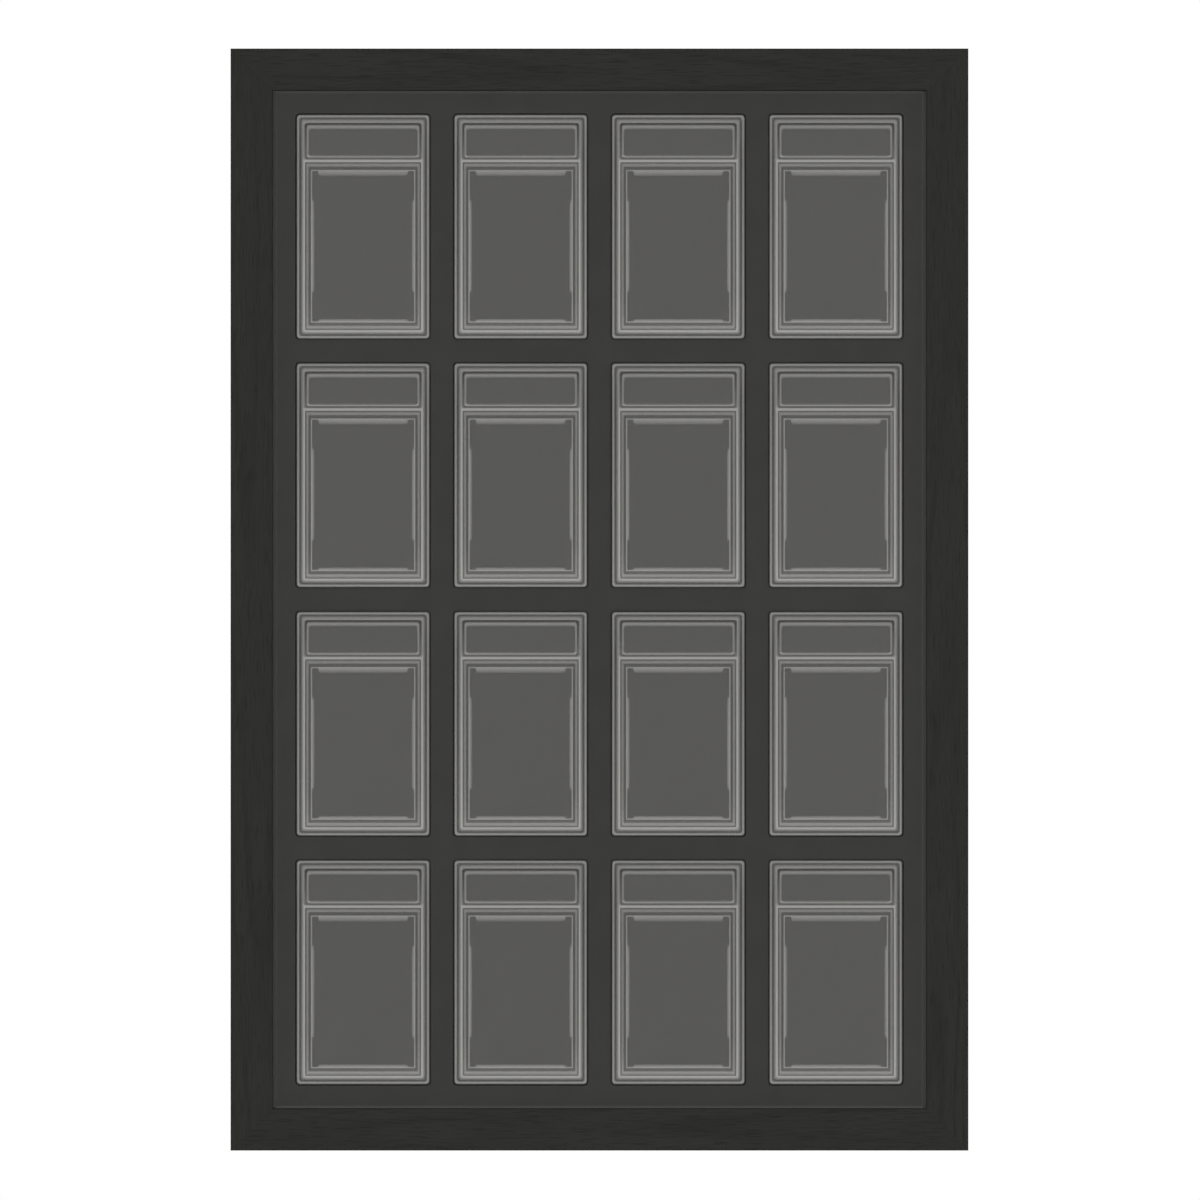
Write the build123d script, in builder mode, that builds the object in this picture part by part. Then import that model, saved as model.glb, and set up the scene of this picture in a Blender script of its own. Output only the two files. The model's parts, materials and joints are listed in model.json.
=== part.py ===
from build123d import *
from math import atan2, cos, degrees, radians, sin
import os

# Slabs: the hard clear cases in which graded cards are sealed
slab_columns = 4
slab_rows = 4
slab_width = 81.0
slab_height = 136.4
slab_gap = 15.0  # between neighbouring slabs
slab_margin = 14.4  # from the outer slabs to the moulding's sight edge
slab_corner_radius = 2.0
slab_edge_bevel = 0.4
front_shell_thickness = 3.0
back_shell_thickness = 3.0
card_width = 63.5
card_height = 88.9
card_play = 0.4  # on each side of the card
label_play = 1.2  # of the label's cavity past each side of its window
cavity_depth = 0.9  # in each shell, from the parting plane

# Stepped face of a slab, inwards from its edge
ledge_width = 2.4
ledge_drop = 0.9
ridge_slope = 1.8
ridge_crest = 1.0
ridge_corner_radius = 1.2
groove_width = 0.7
groove_depth = 0.35
window_drop = 1.3  # of both windows below the crest
label_window_height = 15.5
label_corner_radius = 1.0
label_side_bezel = 2.0
label_top_bezel = 3.4
label_foot_bezel = 1.6
crossbar_height = 1.9
card_corner_radius = 0.6
card_side_bezel = 1.5
card_top_bezel = 2.1
card_foot_bezel = 2.3
moat_width = 1.2
lip_width = 1.2
lip_height = 0.5
lip_bevel = 0.3
side_tab_depth = 1.3
side_tab_height = 56.0
top_tab_depth = 2.7
foot_tab_depth = 1.4
end_tab_width = 55.0
back_recess_drop = 0.6
level_tolerance = 0.001

# Sheets in the rabbet, front to back
glazing_thickness = 2.0
mat_thickness = 1.4
slab_slack = 0.2  # between a slab and the glazing
liner_thickness = 1.4
board_thickness = 3.2
sheet_clearance = 0.8  # round each sheet
pocket_clearance = 0.8  # round each slab

# Wood moulding
moulding_face = 25.5
rabbet_width = 6.35
lip_thickness = 6.0
board_recess = 0.25  # of the backing board below the moulding's back
outer_edge_radius = 1.0
sight_edge_radius = 0.7
back_edge_radius = 0.5

# V-nails across the mitres
v_nails_per_corner = 2
v_nail_pitch = 9.0
v_nail_leg = 5.0
v_nail_half_angle = 45.0
v_nail_thickness = 0.6
v_nail_height = 10.0
v_nail_clearance = 0.03

# Turn buttons
stile_button_count = 3
rail_button_count = 2
button_thickness = 1.2
button_heel_radius = 6.0
button_tip_radius = 4.5
button_hold = 5.0  # from the rabbet's edge to the centre of the tip
button_edge_bevel = 0.2
button_play = 0.1  # under and over the button
button_bore_clearance = 0.08

# Pan head wood screws
screw_shank_radius = 1.75
screw_shank_length = 12.7
screw_point_length = 2.2
screw_point_radius = 0.4
screw_head_radius = 3.3
screw_head_height = 2.1
screw_head_edge_radius = 0.9
screw_recess_length = 3.6
screw_recess_width = 0.8
screw_recess_depth = 1.2
pilot_clearance = 0.05

# D-ring hangers
strap_width = 9.5
strap_length = 50.0
strap_thickness = 1.0
strap_end_radius = 3.0
strap_screw_drop = 17.0  # from the ring's pivot to the first screw
strap_screw_pitch = 24.0
strap_hole_clearance = 0.15
ring_wire_radius = 1.0
ring_inner_width = 12.5
ring_leg_length = 4.5
ring_corner_radius = 2.2
ring_bore_clearance = 0.08

# Rubber wall bumpers
bumper_radius = 5.5
bumper_thickness = 5.0
bumper_edge_radius = 1.2
bumper_corner_distance = 32.0

# Layout of the frame, seen from the front
column_pitch = slab_width + slab_gap
row_pitch = slab_height + slab_gap
sight_width = slab_columns * column_pitch - slab_gap + 2 * slab_margin
sight_height = slab_rows * row_pitch - slab_gap + 2 * slab_margin
outer_width = sight_width + 2 * moulding_face
outer_height = sight_height + 2 * moulding_face
back_land = moulding_face - rabbet_width
sheet_width = sight_width + 2 * (rabbet_width - sheet_clearance)
sheet_height = sight_height + 2 * (rabbet_width - sheet_clearance)
land_x = (outer_width - back_land) / 2
land_z = (outer_height - back_land) / 2

# Levels rise towards the viewer from the middle of the whole depth
slab_thickness = front_shell_thickness + back_shell_thickness
insert_thickness = slab_thickness + slab_slack - mat_thickness
rabbet_depth = (
    glazing_thickness + mat_thickness + insert_thickness + liner_thickness + board_thickness + board_recess
)
moulding_depth = lip_thickness + rabbet_depth
back_level = (bumper_thickness - moulding_depth) / 2
board_level = back_level + board_recess
liner_level = board_level + board_thickness
insert_level = liner_level + liner_thickness
mat_level = insert_level + insert_thickness
glazing_level = mat_level + mat_thickness
parting_level = insert_level + back_shell_thickness
button_level = back_level - button_play - button_thickness
strap_level = back_level - strap_thickness

towards_viewer = Vector(0, -1, 0)
frame_centre = Plane(origin=(0, 0, outer_height / 2), x_dir=(1, 0, 0), z_dir=towards_viewer)


def spread(count, pitch):
    """Places one pitch apart, centred on zero."""
    return [(index - (count - 1) / 2) * pitch for index in range(count)]


def spot(x, z, level, angle=0.0):
    """A plane that faces the viewer, its x direction turned by the angle."""
    return Plane(frame_centre.location * Location((x, z, level), (0, 0, angle)))


# Turn buttons stand on the moulding's back, each with its tip towards the middle
button_spots = {}
for index, z in enumerate(reversed(spread(stile_button_count, sight_height / stile_button_count))):
    button_spots[f"turn_button_left_{index + 1}"] = (-land_x, z, 0)
    button_spots[f"turn_button_right_{index + 1}"] = (land_x, z, 180)
for index, x in enumerate(spread(rail_button_count, sight_width / rail_button_count)):
    button_spots[f"turn_button_top_{index + 1}"] = (x, land_z, -90)
    button_spots[f"turn_button_bottom_{index + 1}"] = (x, -land_z, 90)
button_points = [(x, z) for x, z, angle in button_spots.values()]

# Hangers stand midway between the two upper buttons of each stile
hanger_centre_z = sight_height / stile_button_count * (stile_button_count - 2) / 2
ring_pivot_z = hanger_centre_z + strap_length / 2
barrel_radius = ring_wire_radius + ring_bore_clearance + strap_thickness
ring_pivot_level = back_level - barrel_radius
hanger_sides = {"left": -land_x, "right": land_x}
strap_screw_drops = (strap_screw_drop, strap_screw_drop + strap_screw_pitch)
hanger_points = [(x, ring_pivot_z - drop) for x in hanger_sides.values() for drop in strap_screw_drops]

# V-nails lie along the mitre lines, centred on the back land, each with its point towards the middle
v_nail_point = v_nail_leg * cos(radians(v_nail_half_angle)) / 2
v_nail_spots = []
for x_side in (-1, 1):
    for z_side in (-1, 1):
        mitre_angle = atan2(-z_side, -x_side)
        for place in spread(v_nails_per_corner, v_nail_pitch):
            x = x_side * land_x + (place + v_nail_point) * cos(mitre_angle)
            z = z_side * land_z + (place + v_nail_point) * sin(mitre_angle)
            v_nail_spots.append((x, z, degrees(mitre_angle)))


def v_nail_outline(growth):
    """Corners of a V with its point at the origin, on every side larger by the growth."""
    lean = radians(v_nail_half_angle)
    half_thickness = v_nail_thickness / 2 + growth
    reach = v_nail_leg + growth
    outer = (-reach * cos(lean) + half_thickness * sin(lean), reach * sin(lean) + half_thickness * cos(lean))
    inner = (-reach * cos(lean) - half_thickness * sin(lean), reach * sin(lean) - half_thickness * cos(lean))
    point = half_thickness / sin(lean)
    return [(point, 0), outer, inner, (-point, 0), (inner[0], -inner[1]), (outer[0], -outer[1])]


os.makedirs("parts", exist_ok=True)

# Moulding: one rabbeted section, cut to four mitred lengths
with BuildSketch() as moulding_section:
    Rectangle(moulding_face, moulding_depth, align=(Align.MIN, Align.MIN))
    with Locations((moulding_face, 0)):
        Rectangle(rabbet_width, rabbet_depth, align=(Align.MAX, Align.MIN), mode=Mode.SUBTRACT)
    fillet(moulding_section.vertices().group_by(Axis.Y)[-1].sort_by(Axis.X)[0], outer_edge_radius)
    fillet(moulding_section.vertices().group_by(Axis.Y)[-1].sort_by(Axis.X)[-1], sight_edge_radius)
    fillet(moulding_section.vertices().group_by(Axis.Y)[0].sort_by(Axis.X)[0], back_edge_radius)

moulding_sides = {
    "rail_bottom": (Vector(0, 0, 1), outer_width / 2, outer_height / 2),
    "rail_top": (Vector(0, 0, -1), outer_width / 2, outer_height / 2),
    "stile_left": (Vector(1, 0, 0), outer_height / 2, outer_width / 2),
    "stile_right": (Vector(-1, 0, 0), outer_height / 2, outer_width / 2),
}
for name, (inward, half_length, half_span) in moulding_sides.items():
    outer_edge = Vector(0, -back_level, outer_height / 2) - inward * half_span
    run = inward.cross(towards_viewer)
    with BuildPart() as member:
        with BuildSketch(Plane(origin=outer_edge, x_dir=inward, z_dir=run)):
            add(moulding_section.sketch)
        extrude(amount=half_length, both=True)
        for end in (run, -run):
            split(bisect_by=Plane(origin=outer_edge + end * half_length, z_dir=-end - inward), keep=Keep.TOP)
        with BuildSketch(frame_centre.offset(back_level)):
            with Locations(*button_points, *hanger_points):
                Circle(screw_shank_radius + pilot_clearance)
        extrude(amount=screw_shank_length, mode=Mode.SUBTRACT)
        for x, z, angle in v_nail_spots:
            with BuildSketch(spot(x, z, back_level, angle)):
                Polygon(*v_nail_outline(v_nail_clearance), align=None)
        extrude(amount=v_nail_height + v_nail_clearance, mode=Mode.SUBTRACT)
    member.part.label = name
    export_step(member.part, f"parts/{name}.step")

with BuildPart() as corner_v_nails:
    for x, z, angle in v_nail_spots:
        with BuildSketch(spot(x, z, back_level, angle)):
            Polygon(*v_nail_outline(0), align=None)
    extrude(amount=v_nail_height)
corner_v_nails.part.label = "corner_v_nails"
export_step(corner_v_nails.part, "parts/corner_v_nails.step")

# Plain sheets, then the mat and the insert with an opening for each slab
plain_sheets = {
    "glazing_sheet": (glazing_level, glazing_thickness),
    "pocket_liner": (liner_level, liner_thickness),
    "backing_board": (board_level, board_thickness),
}
for name, (level, thickness) in plain_sheets.items():
    with BuildPart() as sheet:
        with BuildSketch(frame_centre.offset(level)):
            Rectangle(sheet_width, sheet_height)
        extrude(amount=thickness)
    sheet.part.label = name
    export_step(sheet.part, f"parts/{name}.step")

opened_sheets = {
    "face_mat": (mat_level, mat_thickness),
    "slab_insert": (insert_level, insert_thickness),
}
for name, (level, thickness) in opened_sheets.items():
    with BuildPart() as sheet:
        with BuildSketch(frame_centre.offset(level)):
            Rectangle(sheet_width, sheet_height)
            with GridLocations(column_pitch, row_pitch, slab_columns, slab_rows):
                RectangleRounded(
                    slab_width + 2 * pocket_clearance,
                    slab_height + 2 * pocket_clearance,
                    slab_corner_radius + pocket_clearance,
                    mode=Mode.SUBTRACT,
                )
        extrude(amount=thickness)
    sheet.part.label = name
    export_step(sheet.part, f"parts/{name}.step")

# Slab shells, drawn about the slab's centre with the parting plane at zero
ledge_level = front_shell_thickness - ledge_drop
window_level = front_shell_thickness - window_drop
crest_inset = ledge_width + ridge_slope
groove_inset = crest_inset + ridge_crest
frame_inset = groove_inset + groove_width
crest_width = slab_width - 2 * crest_inset
crest_height = slab_height - 2 * crest_inset
frame_width = slab_width - 2 * frame_inset
slab_top = slab_height / 2

# Heights of the borders, from the slab's top down
label_mouth_top = slab_top - frame_inset
label_window_top = label_mouth_top - label_top_bezel
label_window_foot = label_window_top - label_window_height
label_mouth_foot = label_window_foot - label_foot_bezel
crossbar_top = label_mouth_foot - groove_width
crossbar_foot = crossbar_top - crossbar_height
card_mouth_top = crossbar_foot - groove_width
card_floor_top = card_mouth_top - card_top_bezel
card_mouth_foot = frame_inset - slab_top
card_floor_foot = card_mouth_foot + card_foot_bezel
card_floor_width = frame_width - 2 * card_side_bezel
lip_outer_width = card_floor_width - 2 * moat_width
lip_outer_top = card_floor_top - moat_width
lip_outer_foot = card_floor_foot + moat_width
lip_inner_width = lip_outer_width - 2 * lip_width
lip_inner_top = lip_outer_top - lip_width
lip_inner_foot = lip_outer_foot + lip_width
label_window_width = frame_width - 2 * label_side_bezel
card_middle = (lip_inner_top + lip_inner_foot) / 2


def band(width, top, foot, radius=0.0, mode=Mode.ADD):
    """A rectangle between two heights of the slab, centred on its width."""
    with Locations((0, (top + foot) / 2)):
        if radius > 0:
            RectangleRounded(width, top - foot, radius, mode=mode)
        else:
            Rectangle(width, top - foot, mode=mode)


with BuildPart() as front_shell:
    with BuildSketch(Plane.XZ):
        RectangleRounded(slab_width, slab_height, slab_corner_radius)
    extrude(amount=ledge_level)
    chamfer(front_shell.faces().sort_by(Axis.Y)[0].edges(), slab_edge_bevel)
    # Raised ridge with a sloped outer side
    with BuildSketch(Plane.XZ.offset(ledge_level)):
        RectangleRounded(slab_width - 2 * ledge_width, slab_height - 2 * ledge_width, ridge_corner_radius)
    with BuildSketch(Plane.XZ.offset(front_shell_thickness)):
        RectangleRounded(crest_width, crest_height, ridge_corner_radius)
    loft(ruled=True)
    # Fine grooves round the label's frame and the card's frame
    with BuildSketch(Plane.XZ.offset(front_shell_thickness)):
        band(frame_width + 2 * groove_width, label_mouth_top + groove_width, crossbar_top, ridge_corner_radius)
        band(frame_width, label_mouth_top, label_mouth_foot, ridge_corner_radius, Mode.SUBTRACT)
    with BuildSketch(Plane.XZ.offset(front_shell_thickness)):
        band(frame_width + 2 * groove_width, crossbar_foot, card_mouth_foot - groove_width, card_corner_radius)
        band(frame_width, card_mouth_top, card_mouth_foot, card_corner_radius, Mode.SUBTRACT)
    extrude(amount=-groove_depth, mode=Mode.SUBTRACT)
    # Sloped recesses of the label window and the card window
    with BuildSketch(Plane.XZ.offset(front_shell_thickness)):
        band(frame_width, label_mouth_top, label_mouth_foot, label_corner_radius)
    with BuildSketch(Plane.XZ.offset(window_level)):
        band(label_window_width, label_window_top, label_window_foot, label_corner_radius)
    loft(ruled=True, mode=Mode.SUBTRACT)
    with BuildSketch(Plane.XZ.offset(front_shell_thickness)):
        band(frame_width, card_mouth_top, card_mouth_foot, card_corner_radius)
    with BuildSketch(Plane.XZ.offset(window_level)):
        band(card_floor_width, card_floor_top, card_floor_foot, card_corner_radius)
    loft(ruled=True, mode=Mode.SUBTRACT)
    # Lip round the card window, wider along the middle of each side
    with BuildSketch(Plane.XZ.offset(window_level)):
        band(lip_outer_width, lip_outer_top, lip_outer_foot)
        band(lip_inner_width, lip_inner_top, lip_inner_foot, mode=Mode.SUBTRACT)
        band(end_tab_width, lip_outer_top, lip_inner_top - top_tab_depth)
        band(end_tab_width, lip_inner_foot + foot_tab_depth, lip_outer_foot)
        for side in (-1, 1):
            with Locations((side * (lip_inner_width - side_tab_depth) / 2, card_middle)):
                Rectangle(side_tab_depth, side_tab_height)
    extrude(amount=lip_height)
    lip_crest = front_shell.faces().filter_by(
        lambda face: abs(face.center().Y + window_level + lip_height) < level_tolerance
        and face.bounding_box().size.X < card_floor_width
    )
    chamfer(lip_crest.edges(), lip_bevel)
    # Cavities for the label and the card
    with BuildSketch(Plane.XZ):
        band(label_window_width + 2 * label_play, label_window_top + label_play, label_window_foot - label_play)
        with Locations((0, card_middle)):
            Rectangle(card_width + 2 * card_play, card_height + 2 * card_play)
    extrude(amount=cavity_depth, mode=Mode.SUBTRACT)

with BuildPart() as back_shell:
    with BuildSketch(Plane.XZ):
        RectangleRounded(slab_width, slab_height, slab_corner_radius)
    extrude(amount=ledge_drop - back_shell_thickness)
    chamfer(back_shell.faces().sort_by(Axis.Y)[-1].edges(), slab_edge_bevel)
    with BuildSketch(Plane.XZ.offset(ledge_drop - back_shell_thickness)):
        RectangleRounded(slab_width - 2 * ledge_width, slab_height - 2 * ledge_width, ridge_corner_radius)
    with BuildSketch(Plane.XZ.offset(-back_shell_thickness)):
        RectangleRounded(crest_width, crest_height, ridge_corner_radius)
    loft(ruled=True)
    with BuildSketch(Plane.XZ.offset(-back_shell_thickness)):
        band(frame_width, label_mouth_top, card_mouth_foot, ridge_corner_radius)
    extrude(amount=back_recess_drop, mode=Mode.SUBTRACT)
    with BuildSketch(Plane.XZ):
        band(label_window_width + 2 * label_play, label_window_top + label_play, label_window_foot - label_play)
        with Locations((0, card_middle)):
            Rectangle(card_width + 2 * card_play, card_height + 2 * card_play)
    extrude(amount=-cavity_depth, mode=Mode.SUBTRACT)

for row, row_z in enumerate(reversed(spread(slab_rows, row_pitch))):
    for column, column_x in enumerate(spread(slab_columns, column_pitch)):
        for shell_name, shell in (("slab_front", front_shell), ("slab_back", back_shell)):
            name = f"{shell_name}_r{row + 1}c{column + 1}"
            with BuildPart() as slab_shell:
                with Locations((column_x, -parting_level, outer_height / 2 + row_z)):
                    add(shell.part)
            slab_shell.part.label = name
            export_step(slab_shell.part, f"parts/{name}.step")

# Turn buttons: flat steel, a round heel with the bore and a narrower tip
for name, (x, z, angle) in button_spots.items():
    with BuildPart() as turn_button:
        with BuildSketch(spot(x, z, button_level, angle)):
            Circle(button_heel_radius)
            with Locations((back_land / 2 + button_hold, 0)):
                Circle(button_tip_radius)
            make_hull()
            Circle(screw_shank_radius + button_bore_clearance, mode=Mode.SUBTRACT)
        extrude(amount=button_thickness)
        rim = turn_button.faces().sort_by(Axis.Y)[-1].outer_wire().edges()
        chamfer(rim, button_edge_bevel)
    turn_button.part.label = name
    export_step(turn_button.part, f"parts/{name}.step")

# Screws: a rounded head with a cross recess, a plain shank and a point
screw_groups = {
    "turn_button_screws": (button_points, button_level - button_play),
    "hanger_screws": (hanger_points, strap_level),
}
for name, (points, seat_level) in screw_groups.items():
    with BuildPart() as screws:
        with BuildSketch(frame_centre.offset(seat_level)):
            with Locations(*points):
                Circle(screw_head_radius)
        extrude(amount=-screw_head_height)
        fillet(screws.edges().group_by(Axis.Y)[-1], screw_head_edge_radius)
        with BuildSketch(frame_centre.offset(seat_level - screw_head_height)):
            with Locations(*points):
                Rectangle(screw_recess_length, screw_recess_width)
                Rectangle(screw_recess_width, screw_recess_length)
        extrude(amount=screw_recess_depth, mode=Mode.SUBTRACT)
        with BuildSketch(frame_centre.offset(seat_level)):
            with Locations(*points):
                Circle(screw_shank_radius)
        extrude(amount=screw_shank_length - screw_point_length)
        with Locations(*[spot(x, z, seat_level + screw_shank_length - screw_point_length) for x, z in points]):
            Cone(
                screw_shank_radius,
                screw_point_radius,
                screw_point_length,
                align=(Align.CENTER, Align.CENTER, Align.MIN),
            )
    screws.part.label = name
    export_step(screws.part, f"parts/{name}.step")

# Hangers: a strap rolled into a barrel round the bar of a D-ring, which hangs down
ring_half_width = ring_inner_width / 2 + ring_wire_radius
for side, x in hanger_sides.items():
    pivot = spot(x, ring_pivot_z, ring_pivot_level)
    with BuildPart() as hanger_strap:
        with BuildSketch(Plane(origin=pivot.origin, x_dir=-towards_viewer, z_dir=(1, 0, 0))):
            Circle(barrel_radius)
            with Locations((-barrel_radius, 0)):
                Rectangle(strap_thickness, strap_length, align=(Align.MIN, Align.MAX))
            Circle(ring_wire_radius + ring_bore_clearance, mode=Mode.SUBTRACT)
        extrude(amount=strap_width / 2, both=True)
        foot = hanger_strap.faces().sort_by(Axis.Z)[0]
        fillet(foot.edges().filter_by(Axis.Y), strap_end_radius)
        with BuildSketch(pivot.offset(back_level - ring_pivot_level)):
            with Locations(*[(0, -drop) for drop in strap_screw_drops]):
                Circle(screw_shank_radius + strap_hole_clearance)
        extrude(amount=-strap_thickness, mode=Mode.SUBTRACT)
    hanger_strap.part.label = f"hanger_strap_{side}"
    export_step(hanger_strap.part, f"parts/hanger_strap_{side}.step")

    with BuildPart() as hanger_ring:
        with BuildLine(pivot):
            bar_end = Line((0, 0), (ring_half_width - ring_corner_radius, 0))
            first_corner = JernArc(bar_end @ 1, (1, 0), ring_corner_radius, -90)
            first_leg = Line(first_corner @ 1, (ring_half_width, -ring_leg_length))
            bow = JernArc(first_leg @ 1, (0, -1), ring_half_width, -180)
            second_leg = Line(bow @ 1, (-ring_half_width, -ring_corner_radius))
            second_corner = JernArc(second_leg @ 1, (0, 1), ring_corner_radius, -90)
            Line(second_corner @ 1, (0, 0))
        with BuildSketch(Plane(origin=pivot.origin, z_dir=(1, 0, 0))):
            Circle(ring_wire_radius)
        sweep()
    hanger_ring.part.label = f"hanger_ring_{side}"
    export_step(hanger_ring.part, f"parts/hanger_ring_{side}.step")

# Bumpers: soft feet that hold the frame's foot off the wall
bumper_sides = {"left": -1, "right": 1}
for side, sign in bumper_sides.items():
    with BuildPart() as wall_bumper:
        with BuildSketch(spot(sign * (outer_width / 2 - bumper_corner_distance), -land_z, back_level)):
            Circle(bumper_radius)
        extrude(amount=-bumper_thickness)
        fillet(wall_bumper.edges().group_by(Axis.Y)[-1], bumper_edge_radius)
    wall_bumper.part.label = f"wall_bumper_{side}"
    export_step(wall_bumper.part, f"parts/wall_bumper_{side}.step")
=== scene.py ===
import json
from math import pi, radians
from types import SimpleNamespace

import bpy
import numpy as np
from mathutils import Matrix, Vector
from mathutils.geometry import tessellate_polygon

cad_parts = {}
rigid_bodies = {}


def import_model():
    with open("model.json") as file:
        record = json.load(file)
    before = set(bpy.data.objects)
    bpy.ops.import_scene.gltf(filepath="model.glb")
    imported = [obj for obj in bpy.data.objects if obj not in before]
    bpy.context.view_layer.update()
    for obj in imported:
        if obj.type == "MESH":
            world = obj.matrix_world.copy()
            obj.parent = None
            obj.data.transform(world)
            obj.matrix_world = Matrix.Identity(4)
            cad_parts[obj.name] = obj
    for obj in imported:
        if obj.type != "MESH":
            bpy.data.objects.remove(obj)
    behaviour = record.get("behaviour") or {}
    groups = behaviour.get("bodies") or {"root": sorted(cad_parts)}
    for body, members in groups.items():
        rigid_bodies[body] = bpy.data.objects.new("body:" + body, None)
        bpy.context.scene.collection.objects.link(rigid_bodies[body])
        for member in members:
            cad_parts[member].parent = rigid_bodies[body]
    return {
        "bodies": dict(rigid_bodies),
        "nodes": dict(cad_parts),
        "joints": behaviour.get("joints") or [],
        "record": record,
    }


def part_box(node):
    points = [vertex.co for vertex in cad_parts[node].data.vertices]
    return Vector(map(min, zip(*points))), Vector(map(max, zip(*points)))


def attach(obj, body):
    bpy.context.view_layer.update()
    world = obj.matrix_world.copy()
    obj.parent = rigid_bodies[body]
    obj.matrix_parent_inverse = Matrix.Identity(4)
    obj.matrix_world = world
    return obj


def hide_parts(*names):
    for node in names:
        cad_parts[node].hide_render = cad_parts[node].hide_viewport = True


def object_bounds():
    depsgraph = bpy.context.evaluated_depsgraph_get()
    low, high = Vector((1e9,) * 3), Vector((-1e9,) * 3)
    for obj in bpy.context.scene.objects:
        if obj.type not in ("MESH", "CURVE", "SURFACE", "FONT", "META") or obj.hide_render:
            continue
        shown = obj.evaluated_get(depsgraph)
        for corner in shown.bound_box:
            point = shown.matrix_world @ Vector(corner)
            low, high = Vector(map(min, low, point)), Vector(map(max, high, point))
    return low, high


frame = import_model()
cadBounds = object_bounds()
cadNodes = frame["nodes"]
lowCorner, highCorner = cadBounds
frameCentre = (lowCorner + highCorner) / 2
print("frame loaded:", len(cadNodes), "pieces")


# Small helpers for colours, nodes and materials

white = (1.0, 1.0, 1.0, 1.0)


def fromScreen(red, green, blue):  # a screen colour, 0 to 255, as the linear colour that a shader takes
    share = np.array([red, green, blue]) / 255
    linear = np.where(share <= 0.04045, share / 12.92, ((share + 0.055) / 1.055) ** 2.4)
    return (*linear.tolist(), 1.0)


def addNode(tree, kind, inputs=None, **settings):  # inputs may be plain values or other nodes' outputs
    node = tree.nodes.new("ShaderNode" + kind)
    for name, value in settings.items():
        setattr(node, name, value)
    for name, value in (inputs or {}).items():
        if isinstance(value, bpy.types.NodeSocket):
            tree.links.new(value, node.inputs[name])
        else:
            node.inputs[name].default_value = value
    return node


def sums(tree, operation, *values):  # one Math node
    return addNode(tree, "Math", dict(enumerate(values)), operation=operation).outputs[0]


def ramp(tree, share, *stops):  # stops are pairs of a position and a colour, dark to light
    node = addNode(tree, "ValToRGB", {"Fac": share})
    elements = node.color_ramp.elements
    while len(elements) < len(stops):
        elements.new(1.0)
    for element, (position, colour) in zip(elements, stops):
        element.position = position
        element.color = colour
    return node.outputs["Color"]


def blend(tree, share, first, second):  # from one colour to another
    return addNode(tree, "MixRGB", {0: share, 1: first, 2: second}).outputs[0]


def spread(tree, value, start, end, low=0.0, high=1.0):  # a smooth step between two values
    inputs = {0: value, 1: start, 2: end, 3: low, 4: high}
    return addNode(tree, "MapRange", inputs, interpolation_type="SMOOTHSTEP").outputs[0]


def noise(tree, space, stretch, detail=2.0, rough=0.5):  # noise on a stretched copy of the space
    scaled = addNode(tree, "VectorMath", {0: space, 1: stretch}, operation="MULTIPLY").outputs[0]
    inputs = {"Vector": scaled, "Scale": 1.0, "Detail": detail, "Roughness": rough}
    return addNode(tree, "TexNoise", inputs).outputs["Fac"]


def swing(tree, value, width):  # a noise's value as a shift to either side
    return sums(tree, "MULTIPLY", sums(tree, "SUBTRACT", value, 0.5), width)


def bump(tree, height, distance, strength):
    inputs = {"Height": height, "Distance": distance, "Strength": strength}
    return addNode(tree, "Bump", inputs).outputs["Normal"]


def objectSpace(tree):
    return addNode(tree, "TexCoord").outputs["Object"]


def mixShaders(tree, share, first, second):
    return addNode(tree, "MixShader", {0: share, 1: first.outputs[0], 2: second.outputs[0]})


def newMaterial(name):
    material = bpy.data.materials.new(name)
    material.use_nodes = True
    material.node_tree.nodes.clear()
    return material, material.node_tree


def finishMaterial(tree, shader):
    addNode(tree, "OutputMaterial", {"Surface": shader.outputs[0]})


def dress(material, *names):  # a CAD piece keeps its shape and takes a better finish
    for name in names:
        for place in cadNodes[name].material_slots:
            place.material = material


# Studio: camera square to the frame's front, white surroundings, soft lamps in front, beside and behind

studio = {
    "cameraDistance": 6.0,
    "viewWidth": 0.7299,  # what the photograph takes in at the frame's front
    "viewShift": (0.00045, -0.00038),  # the photograph's centre is half a pixel off the frame's
    "sensor": 36.0,
    "roomLight": 0.12,  # light from all round, as the share of it that a white card shows
    "roomColour": white,
    "floorLevel": -0.6,
    "floorSize": 12.0,
    "floorColour": fromScreen(180, 180, 179),
    "floorLift": 0.8,  # glow that makes the floor white for the camera and in mirrors
}
lamps = {  # place in metres, width of the lamp, and how bright it makes a white card that faces -Y or +Y
    "keyLamp": ((-1.9, -7.8, 1.1), 2.0, 0.42),
    "fillLamp": ((1.9, -7.8, 0.1), 1.6, 0.39),
    "sideLampLeft": ((-6.0, -1.8, 2.6), 3.6, 0.036),
    "sideLampRight": ((6.0, -1.8, 1.8), 3.6, 0.036),
    "backLampRight": ((3.2, 5.6, 3.0), 3.6, 0.46),
    "backLampLeft": ((-3.8, 5.2, 1.6), 3.6, 0.36),
}


def seenDirectly(tree):  # 1 for rays from the camera, a mirror or clear plastic, and 0 for the light itself
    path = addNode(tree, "LightPath")
    seen = sums(tree, "MAXIMUM", path.outputs["Is Camera Ray"], path.outputs["Is Glossy Ray"])
    return sums(tree, "MAXIMUM", seen, path.outputs["Is Transmission Ray"])


def buildWorld():
    world = bpy.data.worlds.new("studioRoom")
    world.use_nodes = True
    tree = world.node_tree
    tree.nodes.clear()
    room = addNode(tree, "Background", {"Color": studio["roomColour"], "Strength": studio["roomLight"]})
    shown = addNode(tree, "Background", {"Color": white, "Strength": 1.0})
    either = mixShaders(tree, seenDirectly(tree), room, shown)
    addNode(tree, "OutputWorld", {"Surface": either.outputs[0]})
    bpy.context.scene.world = world


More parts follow.
